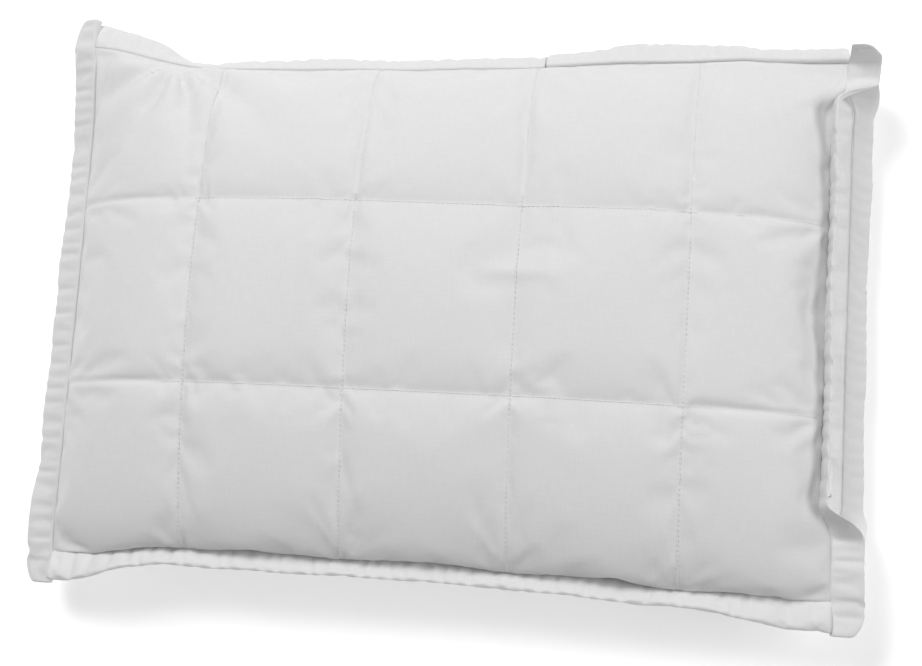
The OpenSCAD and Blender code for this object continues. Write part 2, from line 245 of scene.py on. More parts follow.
@dataclass(frozen=True)
class Inflation:
    """How a piece of cloth is puffed out by what it holds."""

    pressure: float
    slack: float
    cap: float
    frames: int = 16
    stiffness: float = 30.0
    bending: float = 0.6

    def run(self, obj: bpy.types.Object, pins: np.ndarray) -> None:
        """Simulates the cloth and keeps the result in the mesh.

        Args:
            obj: the cloth.
            pins: how firmly each vertex is held, from 0 to 1.
        """
        held = obj.vertex_groups.new(name="held")
        for k, weight in enumerate(pins):
            if weight > 0:
                held.add([k], float(weight), "REPLACE")
        before = np.array([v.co[:] for v in obj.data.vertices])
        cloth = obj.modifiers.new("cloth", "CLOTH")
        s = cloth.settings
        s.quality = 6
        s.mass = 0.12
        s.air_damping = 2.0
        s.tension_stiffness = s.compression_stiffness = self.stiffness
        s.shear_stiffness = self.stiffness / 3
        s.bending_stiffness = self.bending
        s.vertex_group_mass = held.name
        s.pin_stiffness = 1.0
        s.use_pressure = True
        s.uniform_pressure_force = self.pressure
        s.shrink_min = -self.slack
        s.effector_weights.gravity = 0.0
        cloth.collision_settings.use_collision = False
        cloth.point_cache.frame_start = 1
        cloth.point_cache.frame_end = self.frames
        scene = bpy.context.scene
        for step in range(1, self.frames + 1):
            scene.frame_set(step)
        posed = obj.evaluated_get(bpy.context.evaluated_depsgraph_get())
        after = np.array([v.co[:] for v in posed.data.vertices])
        obj.modifiers.remove(cloth)
        obj.vertex_groups.clear()
        scene.frame_set(1)
        move = after - before
        far = np.linalg.norm(move, axis=1, keepdims=True)
        move *= np.minimum(1.0, self.cap / np.maximum(far, 1e-9))
        log.info("%s moved up to %.1f mm, %.1f mm at most places", obj.name, far.max() / MM,
                 float(np.median(far)) / MM)
        obj.data.vertices.foreach_set("co", (before + move).ravel())
        obj.data.update()


# ---------------------------------------------------------------- finishes


class Nodes:
    """Shader nodes laid out in a tree, with the short calls that the finishes share."""

    def __init__(self, tree: bpy.types.NodeTree) -> None:
        """Starts on an empty tree."""
        self.tree = tree
        tree.nodes.clear()

    def add(self, kind: str, **values: object) -> bpy.types.Node:
        """Adds a node.

        Args:
            kind: the node's type.
            values: its properties, or its inputs with blanks as underscores.

        Returns:
            The node.
        """
        node = self.tree.nodes.new(kind)
        for key, value in values.items():
            if hasattr(node, key):
                setattr(node, key, value)
            else:
                self.feed(node.inputs[key.replace("_", " ")], value)
        return node

    def feed(self, socket: bpy.types.NodeSocket, value: object) -> None:
        """Links a socket to another, or sets it."""
        if isinstance(value, bpy.types.NodeSocket):
            self.tree.links.new(value, socket)
        else:
            socket.default_value = value

    def math(self, operation: str, a: object, b: object = 0.0, c: object = 0.0) -> bpy.types.NodeSocket:
        """A Math node's result."""
        node = self.tree.nodes.new("ShaderNodeMath")
        node.operation = operation
        for socket, value in zip(node.inputs, (a, b, c)):
            self.feed(socket, value)
        return node.outputs[0]


def group_inputs(tree: bpy.types.NodeTree, inputs: dict[str, tuple[str, float]],
                 outputs: tuple[str, ...]) -> None:
    """Names a node group's sockets.

    Args:
        tree: the group.
        inputs: each input's kind and its first value.
        outputs: the outputs, all of them values.
    """
    for name, (kind, value) in inputs.items():
        socket = tree.interface.new_socket(name, in_out="INPUT", socket_type=kind)
        if kind == "NodeSocketFloat":
            socket.default_value = value
    for name in outputs:
        tree.interface.new_socket(name, in_out="OUTPUT", socket_type="NodeSocketFloat")


def weave_group() -> bpy.types.NodeTree:
    """Plain-woven yarns with slubs: the height of the cloth and how dark its gaps are."""
    tree = bpy.data.node_groups.new("woven_yarns", "ShaderNodeTree")
    nodes = Nodes(tree)
    group_inputs(tree, {"Vector": ("NodeSocketVector", 0.0), "Yarn Pitch": ("NodeSocketFloat", 0.5 * MM),
                        "Slub Size": ("NodeSocketFloat", 9 * MM), "Slub Depth": ("NodeSocketFloat", 0.5)},
                 ("Height", "Gap", "Slub"))
    given = nodes.add("NodeGroupInput")
    parts = nodes.add("ShaderNodeSeparateXYZ", Vector=given.outputs["Vector"])
    turns = nodes.math("DIVIDE", math.pi, given.outputs["Yarn Pitch"])
    warp = nodes.math("SINE", nodes.math("MULTIPLY", parts.outputs["X"], turns))
    weft = nodes.math("SINE", nodes.math("MULTIPLY", parts.outputs["Y"], turns))
    over = nodes.math("MULTIPLY", warp, weft)
    slubs = []
    for stretch in ((0.12, 1.0, 1.0), (1.0, 0.12, 1.0)):
        turned = nodes.add("ShaderNodeVectorMath", operation="MULTIPLY")
        nodes.feed(turned.inputs[0], given.outputs["Vector"])
        nodes.feed(turned.inputs[1], stretch)
        scale = nodes.math("DIVIDE", 1.0, given.outputs["Slub Size"])
        streak = nodes.add("ShaderNodeTexNoise", Vector=turned.outputs[0],
                           Scale=nodes.math("MULTIPLY", scale, 7.0), Detail=2.0, Roughness=0.6)
        slubs.append(streak.outputs["Fac"])
    slub = nodes.math("SUBTRACT", nodes.math("MULTIPLY", nodes.math("ADD", slubs[0], slubs[1]), 0.5), 0.5)
    height = nodes.math("MULTIPLY_ADD", slub, given.outputs["Slub Depth"], nodes.math("MULTIPLY", over, 0.35))
    out = nodes.add("NodeGroupOutput")
    nodes.feed(out.inputs["Height"], height)
    nodes.feed(out.inputs["Gap"], nodes.math("MULTIPLY_ADD", over, 0.5, 0.5))
    nodes.feed(out.inputs["Slub"], slub)
    return tree


def fibre_group() -> bpy.types.NodeTree:
    """Loose matted fibres at two sizes: the height of the mat and its clumps."""
    tree = bpy.data.node_groups.new("matted_fibres", "ShaderNodeTree")
    nodes = Nodes(tree)
    group_inputs(tree, {"Vector": ("NodeSocketVector", 0.0), "Clump": ("NodeSocketFloat", 12 * MM),
                        "Fibre": ("NodeSocketFloat", 0.8 * MM)}, ("Height", "Clumps"))
    given = nodes.add("NodeGroupInput")
    clumps = nodes.add("ShaderNodeTexNoise", Vector=given.outputs["Vector"],
                       Scale=nodes.math("DIVIDE", 1.0, given.outputs["Clump"]), Detail=3.0, Distortion=1.2)
    strands = nodes.add("ShaderNodeTexNoise", Vector=given.outputs["Vector"],
                        Scale=nodes.math("DIVIDE", 1.0, given.outputs["Fibre"]), Detail=4.0, Distortion=3.0)
    out = nodes.add("NodeGroupOutput")
    height = nodes.math("MULTIPLY_ADD", strands.outputs["Fac"], 0.4, clumps.outputs["Fac"])
    nodes.feed(out.inputs["Height"], height)
    nodes.feed(out.inputs["Clumps"], clumps.outputs["Fac"])
    return tree


def use_group(nodes: Nodes, tree: bpy.types.NodeTree, **values: object) -> bpy.types.Node:
    """Places a node group with its own values."""
    node = nodes.add("ShaderNodeGroup", node_tree=tree)
    for key, value in values.items():
        nodes.feed(node.inputs[key.replace("_", " ")], value)
    return node


Colour = tuple[float, float, float, float]


@dataclass(frozen=True)
class Finish:
    """What every finish shares: its two tones and its gloss."""

    name: str
    light: Colour
    dark: Colour
    roughness: float = 0.85

    def begin(self) -> tuple[bpy.types.Material, Nodes, bpy.types.Node]:
        """A new material with its shader, ready for nodes."""
        material = bpy.data.materials.new(self.name)
        material.use_nodes = True
        nodes = Nodes(material.node_tree)
        shader = nodes.add("ShaderNodeBsdfPrincipled")
        out = nodes.add("ShaderNodeOutputMaterial")
        nodes.feed(out.inputs["Surface"], shader.outputs["BSDF"])
        return material, nodes, shader

    def tone(self, nodes: Nodes, share: object) -> bpy.types.NodeSocket:
        """The colour between the dark and the light tone."""
        mix = nodes.add("ShaderNodeMix", data_type="RGBA")
        nodes.feed(mix.inputs[0], share)
        nodes.feed(mix.inputs[6], self.dark)
        nodes.feed(mix.inputs[7], self.light)
        return mix.outputs[2]

    def rough(self, nodes: Nodes, share: object, spread: float) -> bpy.types.NodeSocket:
        """A roughness that varies by spread about the finish's own."""
        return nodes.math("MULTIPLY_ADD", share, spread, self.roughness - spread / 2)

    def bump(self, nodes: Nodes, height: object, depth: float, strength: float) -> bpy.types.NodeSocket:
        """The normal that a height of that depth in metres gives."""
        node = nodes.add("ShaderNodeBump", Height=height, Distance=depth, Strength=strength)
        return node.outputs["Normal"]


@dataclass(frozen=True)
class WovenFinish(Finish):
    """Woven cloth."""

    pitch: float = 0.5 * MM
    slub: float = 9 * MM
    slub_depth: float = 0.5
    depth: float = 0.12 * MM
    sheen: float = 0.2
    by_flat: bool = True

    def make(self, weave: bpy.types.NodeTree) -> bpy.types.Material:
        """The material.

        Args:
            weave: the shared group of woven yarns.

        Returns:
            The cloth's finish.
        """
        material, nodes, shader = self.begin()
        if self.by_flat:
            where = nodes.add("ShaderNodeUVMap", uv_map="flat").outputs["UV"]
        else:
            where = nodes.add("ShaderNodeTexCoord").outputs["Object"]
        yarns = use_group(nodes, weave, Vector=where, Yarn_Pitch=self.pitch, Slub_Size=self.slub,
                          Slub_Depth=self.slub_depth)
        share = nodes.math("MULTIPLY_ADD", yarns.outputs["Slub"], 1.4,
                           nodes.math("MULTIPLY_ADD", yarns.outputs["Gap"], 0.25, 0.45))
        nodes.feed(shader.inputs["Base Color"], self.tone(nodes, share))
        nodes.feed(shader.inputs["Roughness"], self.rough(nodes, yarns.outputs["Gap"], 0.12))
        nodes.feed(shader.inputs["Normal"], self.bump(nodes, yarns.outputs["Height"], self.depth, 0.6))
        shader.inputs["Sheen Weight"].default_value = self.sheen
        shader.inputs["Sheen Roughness"].default_value = 0.4
        return material


@dataclass(frozen=True)
class FibreFinish(Finish):
    """Matted or loose fibre."""

    clump: float = 12 * MM
    fibre: float = 0.8 * MM
    depth: float = 0.8 * MM

    def make(self, mat: bpy.types.NodeTree) -> bpy.types.Material:
        """The material.

        Args:
            mat: the shared group of matted fibres.

        Returns:
            The fibre's finish.
        """
        material, nodes, shader = self.begin()
        where = nodes.add("ShaderNodeTexCoord").outputs["Object"]
        fibres = use_group(nodes, mat, Vector=where, Clump=self.clump, Fibre=self.fibre)
        nodes.feed(shader.inputs["Base Color"], self.tone(nodes, fibres.outputs["Clumps"]))
        nodes.feed(shader.inputs["Roughness"], self.rough(nodes, fibres.outputs["Clumps"], 0.1))
        nodes.feed(shader.inputs["Normal"], self.bump(nodes, fibres.outputs["Height"], self.depth, 0.8))
        return material


@dataclass(frozen=True)
class MouldedFinish(Finish):
    """Moulded or enamelled trim: a smooth skin with a faint orange peel and small scuffs."""

    peel: float = 0.9 * MM
    depth: float = 0.02 * MM
    coat: float = 0.0

    def make(self) -> bpy.types.Material:
        """The material."""
        material, nodes, shader = self.begin()
        where = nodes.add("ShaderNodeTexCoord").outputs["Object"]
        peel = nodes.add("ShaderNodeTexNoise", Vector=where, Scale=1 / self.peel, Detail=2.0)
        scuffs = nodes.add("ShaderNodeTexNoise", Vector=where, Scale=180.0, Detail=6.0, Distortion=0.8)
        share = nodes.math("MULTIPLY_ADD", scuffs.outputs["Fac"], 0.8, 0.2)
        nodes.feed(shader.inputs["Base Color"], self.tone(nodes, share))
        nodes.feed(shader.inputs["Roughness"], self.rough(nodes, scuffs.outputs["Fac"], 0.2))
        nodes.feed(shader.inputs["Normal"], self.bump(nodes, peel.outputs["Fac"], self.depth, 0.5))
        shader.inputs["Coat Weight"].default_value = self.coat
        shader.inputs["Coat Roughness"].default_value = 0.12
        return material


WHITE = (0.82, 0.82, 0.82, 1.0)
OFF_WHITE = (0.74, 0.74, 0.74, 1.0)


class Finishes:
    """The pillow's finishes, each made once."""

    def __init__(self) -> None:
        """Makes the shared groups and the materials."""
        weave, mat = weave_group(), fibre_group()
        self.percale = WovenFinish("cotton_percale", WHITE, OFF_WHITE, 0.9).make(weave)
        self.border = WovenFinish("cotton_border", WHITE, OFF_WHITE, 0.88).make(weave)
        self.lining = WovenFinish("spunbond_lining", (0.84, 0.84, 0.84, 1), (0.74, 0.74, 0.74, 1), 0.8,
                                  pitch=0.9 * MM, slub=4 * MM, slub_depth=0.9).make(weave)
        self.casing = WovenFinish("insert_percale", (0.86, 0.86, 0.85, 1), (0.78, 0.78, 0.77, 1), 0.88,
                                  pitch=0.4 * MM).make(weave)
        # Painted highlight: the zip tape's light tone is raised near full white, above the cloth's, to stand
        # in for the light that its gloss catches.
        self.tape = WovenFinish("zip_tape_weave", (0.97, 0.97, 0.97, 1), (0.86, 0.86, 0.87, 1), 0.4,
                                pitch=0.55 * MM, slub_depth=0.15, depth=0.1 * MM, sheen=0.35).make(weave)
        self.thread = WovenFinish("sewing_thread", (0.9, 0.9, 0.9, 1), (0.8, 0.8, 0.8, 1), 0.55,
                                  pitch=0.35 * MM, slub=2 * MM, sheen=0.3, by_flat=False).make(weave)
        self.wadding = FibreFinish("polyester_wadding", (0.92, 0.92, 0.92, 1), (0.8, 0.8, 0.8, 1),
                                   1.0).make(mat)
        self.fibre = FibreFinish("hollow_fibre", (0.94, 0.94, 0.93, 1), (0.78, 0.78, 0.78, 1), 1.0,
                                 clump=22 * MM, fibre=1.2 * MM, depth=2 * MM).make(mat)
        self.coil = MouldedFinish("nylon_coil", (0.9, 0.9, 0.9, 1), (0.8, 0.8, 0.8, 1), 0.35).make()
        self.enamel = MouldedFinish("white_enamel", (0.88, 0.88, 0.88, 1), (0.78, 0.78, 0.78, 1), 0.3,
                                    coat=0.6).make()


# ---------------------------------------------------------------- the pillow's shape


class Face(Enum):
    """A face of the pillow, and the way it faces."""

    FRONT = 1
    BACK = -1


@dataclass(frozen=True)
class QuiltGrid:
    """The stitch lines that divide a face of the cover into squares."""

    columns: int = 5
    rows: int = 3
    end_share: float = 0.89
    edge_share: float = 0.93
    steps: int = 28
    crowding: float = 0.3

    def station(self, k: int, count: int, share: float) -> float:
        """Place of a lattice line across the face.

        Args:
            k: the lattice line.
            count: the number of squares across.
            share: the outer squares' width as a share of the others'.

        Returns:
            Its place, from -1 to 1. Lines crowd towards the stitching.
        """
        widths = [share if c in (0, count - 1) else 1.0 for c in range(count)]
        square, step = divmod(k, self.steps)
        t = step / self.steps
        t -= self.crowding * math.sin(2 * math.pi * t) / (2 * math.pi)
        reached = sum(widths[:square]) + (t * widths[square] if square < count else 0.0)
        return 2 * reached / sum(widths) - 1

    def u(self, i: int) -> float:
        """Place along the length of lattice column i, from -1 to 1."""
        return self.station(i, self.columns, self.end_share)

    def v(self, j: int) -> float:
        """Place across the width of lattice row j, from -1 to 1."""
        return self.station(j, self.rows, self.edge_share)

    @property
    def nx(self) -> int:
        """Lattice squares along the length."""
        return self.columns * self.steps

    @property
    def ny(self) -> int:
        """Lattice squares across the width."""
        return self.rows * self.steps


@dataclass(frozen=True)
class Shape:
    """The plan and the crown that every layer of the pillow follows, in metres."""

    half_l: float
    half_w: float
    seam_h: float = 56 * MM
    front_rise: float = 66 * MM
    back_drop: float = 62 * MM
    stack: float = 1.9 * MM
    ground_gap: float = 0.4 * MM
    end_pull: float = 3 * MM
    gape_rise: float = 9 * MM
    front_gape: float = 11 * MM
    gape_reach: float = 8 * MM
    gape_out: float = 9 * MM
    split_foot: float = -138 * MM
    split_head: float = 174 * MM
    foot_fade: float = 28 * MM
    head_fade: float = 22 * MM
    foot_sag: float = 8 * MM
    head_lift: float = 6 * MM
    ear_rise: float = 10 * MM
    ear_push: float = -3 * MM
    ear_in: float = 3 * MM
    flap_rise: float = 5 * MM
    flap_push: float = -4 * MM
    lean_to_foot: float = 15 * MM
    lumps: float = 2.2 * MM
    end_roundness: float = 4.0
    side_roundness: float = 2.6
    fullness: float = 0.62
    head_pull: tuple[tuple[float, float], ...] = (
        (-1.0, 0.0), (-0.68, 15 * MM), (-0.2, 13 * MM), (0.1, 10 * MM), (0.5, 3 * MM), (0.85, -1 * MM),
        (1.0, 0.0))
    foot_pull: tuple[tuple[float, float], ...] = (
        (-1.0, 0.0), (-0.62, 14 * MM), (0.0, 14 * MM), (0.3, 11 * MM), (0.7, 5 * MM), (1.0, 0.0))

    def crown(self, u: float, v: float) -> float:
        """How full the pillow is there, from 0 at the seams to 1 in the middle."""
        lengthwise = max(0.0, 1 - abs(u) ** self.end_roundness)
        crosswise = max(0.0, 1 - abs(v) ** self.side_roundness)
        return (lengthwise * crosswise) ** self.fullness

    def split(self, y: float) -> float:
        """How far the two layers of the zipped end stand apart at y, from 0 to 1."""
        from_foot = smooth((y - self.split_foot) / self.foot_fade + 1)
        from_head = smooth((self.split_head - y) / self.head_fade + 1)
        return from_foot * from_head

    def end_x(self, v: float) -> float:
        """Half length of the plan at v."""
        return self.half_l - self.end_pull * (1 - min(1.0, abs(v)) ** 6)

    def plan_y(self, u: float, v: float) -> float:
        """Place across the width: the long seams are drawn in between the corners."""
        pull = along(self.head_pull if v > 0 else self.foot_pull, u)
        return v * self.half_w - math.copysign(pull * abs(v) ** 3, v)

    def corner_lift(self, u: float, v: float, face: Face) -> Vector:
        """How far the corners are pushed out of the plan: the head corners stand up, the foot ones sag."""
        near = min(1.0, abs(u)) ** 4 * min(1.0, abs(v)) ** 8
        if u > 0:
            near *= 1 - self.split(v * self.half_w)
        move = Vector((0, 0, (self.head_lift if v > 0 else -self.foot_sag) * near))
        ear = smooth((-u - 0.62) / 0.34) * smooth((v - 0.55) / 0.45)
        move += Vector((self.ear_in, self.ear_push, self.ear_rise)) * ear
        if face is Face.FRONT:
            flap = smooth((u - 0.80) / 0.20) * smooth((v - 0.60) / 0.40)
            move += Vector((0, self.flap_push * flap, self.flap_rise * flap * near))
        return move

    def overhang(self, full: float, v: float) -> float:
        """How far the sagging fill pushes the front out over the foot border."""
        return self.lean_to_foot * 4 * full * (1 - full) * smooth((-v - 0.45) / 0.4)

    def point(self, u: float, v: float, face: Face) -> Vector:
        """The outer cloth at its stitching, before it swells.

        Args:
            u: place along the length, from -1 to 1.
            v: place across the width, from -1 to 1.
            face: the face it is on.

        Returns:
            The point.
        """
        full = self.crown(u, v)
        parted = self.split(v * self.half_w) * max(0.0, u) ** 8
        x, y = u * self.end_x(v), self.plan_y(u, v)
        lump = self.lumps * full * ripple(Vector((x, y, 0)), 95 * MM, face.value)
        if face is Face.FRONT:
            x -= self.gape_reach * parted
            y -= self.overhang(full, v)
            z = self.seam_h + self.stack + self.front_rise * full + self.front_gape * parted + lump
        else:
            x += self.gape_out * parted
            sunk = self.back_drop * full + self.gape_rise * parted + lump
            z = max(self.ground_gap, self.seam_h - self.stack - sunk)
        return Vector((x, y, z)) + self.corner_lift(u, v, face)

    def seam(self, u: float, v: float, face: Face) -> Vector:
        """The middle of the edge of the cloth stack of one face, on the seam."""
        edge = self.point(u, v, face)
        edge.z -= face.value * self.stack / 2
        return edge


# ---------------------------------------------------------------- the quilted cover


@dataclass(frozen=True)
class Stitch:
    """A short bowed length of thread that dips into the cloth at both ends."""

    length: float = 3.2 * MM
    gap: float = 0.7 * MM
    radius: float = 0.22 * MM

    def pattern(self) -> bpy.types.Mesh:
        """One stitch along Z, with +Y away from the cloth."""
        bm = bmesh.new()
        bmesh.ops.create_cone(bm, cap_ends=True, segments=6, radius1=self.radius, radius2=self.radius,
                              depth=self.length)
        lengths = [edge for edge in bm.edges
                   if abs(edge.verts[0].co.z - edge.verts[1].co.z) > self.length / 2]
        bmesh.ops.subdivide_edges(bm, edges=lengths, cuts=3)
        for vert in bm.verts:
            share = vert.co.z / (self.length / 2)
            pinch = 1 - 0.55 * abs(share) ** 3
            vert.co.x *= pinch
            vert.co.y = vert.co.y * pinch + self.radius * (0.75 - 1.3 * share * share)
        mesh = bpy.data.meshes.new("stitch_pattern")
        bm.to_mesh(mesh)
        bm.free()
        return mesh

    def sew(self, name: str, runs: list[np.ndarray], material: bpy.types.Material) -> bpy.types.Object:
        """Sews stitches along runs.

        Args:
            name: the thread's name.
            runs: for each run, its points on the cloth and the outward directions there.
            material: the thread's finish.

        Returns:
            All the stitches as one piece.
        """
        pattern = self.pattern()
        bm = bmesh.new()
        for points, normals in runs:
            reach = np.concatenate([[0], np.cumsum(np.linalg.norm(np.diff(points, axis=0), axis=1))])
            count = int(reach[-1] // (self.length + self.gap))
            for n in range(count):
                start = (n + 0.5) * reach[-1] / count - self.length / 2
                first, last = (Vector([np.interp(start + d, reach, points[:, a]) for a in range(3)])
                               for d in (0, self.length))
                up = Vector([np.interp(start + self.length / 2, reach, normals[:, a]) for a in range(3)])
                forward = (last - first).normalized()
                across = up.cross(forward).normalized()
                turn = Matrix((across, forward.cross(across), forward)).transposed().to_4x4()
                put = Matrix.Translation((first + last) / 2) @ turn
                pattern.transform(put)
                bm.from_mesh(pattern)
                pattern.transform(put.inverted())
        bpy.data.meshes.remove(pattern)
        return new_object(name, bm, material)


@dataclass(frozen=True)
class Gather:
    """Tension folds that fan out over the cloth from a place where it is drawn together."""

    u: float
    v: float
    reach: float
    folds: float
    depth: float

    def heights(self, x: np.ndarray, y: np.ndarray, shape: Shape) -> np.ndarray:
        """How far the folds lift the cloth.

        Args:
            x: places along the length before the seams are drawn in, in metres.
            y: places across the width.
            shape: the pillow's shape.

        Returns:
            The lift at each place, in metres, with sharp valleys between round folds.
        """
        dx, dy = x - self.u * shape.half_l, y - self.v * shape.half_w
        far = np.hypot(dx, dy)
        bend = 0.35 * np.sin(far / (0.4 * self.reach) + 3 * self.u)
        fan = np.abs(np.sin(self.folds * np.arctan2(dy, dx) + bend)) - 0.64
        shown = (1 - np.exp(-((far / (0.16 * self.reach)) ** 2))) * np.exp(-((far / self.reach) ** 2))
        return self.depth * fan * shown


@dataclass
class QuiltedFace:
    """One quilted face of the cover: face cloth, wadding and lining, with its stitching."""

    shape: Shape
    grid: QuiltGrid
    face: Face
    finishes: Finishes
    flat: tuple[float, float] = (0.650, 0.450)
    cloth_t: float = 0.6 * MM
    wadding_t: float = 0.8 * MM
    lining_t: float = 0.5 * MM
    clearance: float = 0.7 * MM
    puff: Inflation = Inflation(pressure=4.2, slack=0.014, cap=9 * MM, bending=0.8)
    stitch: Stitch = Stitch()
    quick_swell: float = 5 * MM
    groove: float = 1.6 * MM
    groove_w: float = 3.2 * MM
    upright_pull: tuple[tuple[float, float], ...] = (
        (-1.0, 0.45), (-0.5, 0.25), (-0.2, 0.12), (0.2, 0.15), (0.42, 0.85), (1.0, 1.0))
    level_pull: tuple[tuple[float, float], ...] = ((0.0, 0.35), (0.4, 0.4), (0.8, 1.0), (1.0, 1.0))
    seam_ease: float = 7 * MM
    thread_rise: float = 0.55 * MM
    corner_folds: tuple[Gather, ...] = (
        Gather(-0.76, 1.0, 85 * MM, 5.0, 11 * MM), Gather(-0.55, 1.0, 45 * MM, 5.0, 1.2 * MM),
        Gather(0.97, 0.86, 50 * MM, 5.0, 1.3 * MM))
    lattice: Lattice | None = None

    def piece(self, part: str) -> str:
        """A piece's name on this face."""
        return f"{self.face.name.lower()}_{part}"

    def build(self) -> None:
        """Builds the face cloth and swells it, then the layers under it and the stitches."""
        grid, shape = self.grid, self.shape
        self.lattice = Lattice.made(
            self.piece("face_fabric"), grid.nx, grid.ny,
            lambda i, j: shape.point(grid.u(i), grid.v(j), self.face),
            self.flat, Vector((0, 0, self.face.value)))
        self.puff.run(self.lattice.obj, self.pins())
        self.settle()
        self.wadding = self.build_wadding()
        self.lining = self.build_lining()
        self.stitches = self.build_stitches()

    def stitched(self, i: int, j: int) -> bool:
        """Whether the lattice point lies on a stitch line."""
        return i % self.grid.steps == 0 or j % self.grid.steps == 0

    def pins(self) -> np.ndarray:
        """How firmly each point is held: fast at the seams, firmly near them, loosely in the middle."""
        grid = self.grid
        pins = np.zeros(self.lattice.index.size)
        for (i, j), k in np.ndenumerate(self.lattice.index):
            if i in (0, grid.nx) or j in (0, grid.ny):
                pins[k] = 1.0
            elif self.stitched(i, j):
                u, v = grid.u(i), grid.v(j)
                pins[k] = 0.25 + 0.75 * max(smooth(abs(v) * 1.25 - 0.2), smooth(abs(u) * 1.5 - 0.5)) ** 1.5
        return pins

    def gathers(self) -> list[Gather]:
        """The folds at the ends of the stitch lines, and those that the corners draw up."""
        grid = self.grid
        found = list(self.corner_folds) if self.face is Face.FRONT else []
        for c in range(1, grid.columns):
            for v, depth in ((1.0, 0.9 * MM), (-1.0, 0.6 * MM)):
                found.append(Gather(grid.u(c * grid.steps), v, 30 * MM, 4.5, depth))
        for r in range(1, grid.rows):
            for u in (-1.0, 1.0):
                found.append(Gather(u, grid.v(r * grid.steps), 38 * MM, 4.5, 1.0 * MM))
        return found

    def settle(self) -> None:
        """Draws the cloth in along its stitching, folds it, and lays the underside on the ground."""
        grid, shape = self.grid, self.shape
        points, normals = self.lattice.points(), self.lattice.normals()
        u = np.array([grid.u(i) for i in range(grid.nx + 1)])[:, None]
        v = np.array([grid.v(j) for j in range(grid.ny + 1)])[None, :]
        x, y = u * shape.half_l + 0 * v, v * shape.half_w + 0 * u
        upright = sum(np.exp(-np.abs(x - grid.u(c * grid.steps) * shape.half_l) / self.groove_w)
                      for c in range(1, grid.columns))
        level = sum(np.exp(-np.abs(y - grid.v(r * grid.steps) * shape.half_w) / self.groove_w)
                    for r in range(1, grid.rows))
        strong_v = np.interp(v, *zip(*self.upright_pull))
        strong_u = np.interp(np.abs(u), *zip(*self.level_pull))
        sunk = self.groove * np.minimum(1.1, upright * strong_v + level * strong_u)
        from_seam = np.minimum((1 - np.abs(u)) * shape.half_l, (1 - np.abs(v)) * shape.half_w)
        folds = sum(gather.heights(x, y, shape) for gather in self.gathers())
        points += normals * ((folds - sunk) * np.minimum(1.0, from_seam / self.seam_ease))[..., None]
        if self.face is Face.BACK:
            points[..., 2] = np.maximum(points[..., 2], 0.2 * MM)
        self.lattice.move(points)

    def lining_points(self) -> np.ndarray:
        """The lining's outer side: taut over each square, and close under the cloth at the stitching."""
        grid = self.grid
        own, out = self.lattice.points(), self.lattice.normals()
        taut = np.empty_like(own)
        for (i, j), _ in np.ndenumerate(self.lattice.index):
            taut[i, j] = self.shape.point(grid.u(i), grid.v(j), self.face)
        puffed = np.sum((own - taut) * out, axis=2, keepdims=True)
        taut = own - out * np.maximum(puffed, 0.0)
        return taut - out * (self.cloth_t + self.clearance + self.wadding_t)

    def build_wadding(self) -> bpy.types.Object:
        """The wadding, which fills the swell between the face cloth and the lining."""
        outer = self.lattice.points() - self.lattice.normals() * (self.cloth_t + self.clearance)
        pad = between(self.piece("wadding"), outer, self.lining_points())
        pad.data.materials.append(self.finishes.wadding)
        return pad

    def build_lining(self) -> Lattice:
        """The lining under the wadding."""
        points = self.lining_points()[::2, ::2]
        return Lattice.made(self.piece("lining"), points.shape[0] - 1, points.shape[1] - 1,
                            lambda i, j: Vector(points[i, j]), self.flat, Vector((0, 0, self.face.value)))

    def stitch_runs(self) -> list[np.ndarray]:
        """The stitch lines as runs of points and outward directions, just over the cloth."""
        normals = self.lattice.normals()
        points = self.lattice.points() + normals * self.thread_rise
        steps, grid = self.grid.steps, self.grid
        runs = []
        for c in range(1, grid.columns):
            runs.append(np.stack([points[c * steps], normals[c * steps]]))
        for r in range(1, grid.rows):
            runs.append(np.stack([points[:, r * steps], normals[:, r * steps]]))
        return runs

    def build_stitches(self) -> bpy.types.Object:
        """Lockstitches along every quilting line, each a short bowed length of thread."""
        return self.stitch.sew(self.piece("quilting_thread"), self.stitch_runs(), self.finishes.thread)

    def dress(self) -> None:
        """Gives every layer its finish, thickness and place in the frame."""
        cloth = self.lattice.obj
        cloth.data.materials.append(self.finishes.percale)
        subdivide(cloth)
        add_wall(cloth, self.cloth_t)
        lining = self.lining.obj
        lining.data.materials.append(self.finishes.lining)
        add_wall(lining, self.lining_t)
        finish_piece(cloth, "cover_fabric", self.piece("face_fabric"))
        finish_piece(self.wadding, "wadding", self.piece("wadding"))
        finish_piece(lining, "lining_fabric", self.piece("lining"))
        finish_piece(self.stitches, "thread", self.piece("quilting_thread"))


# ---------------------------------------------------------------- the borders


@dataclass(frozen=True)
class Station:
    """One cross-section of a border strip."""

    foot: Vector
    out: Vector
    up: Vector
    narrow: float = 1.0


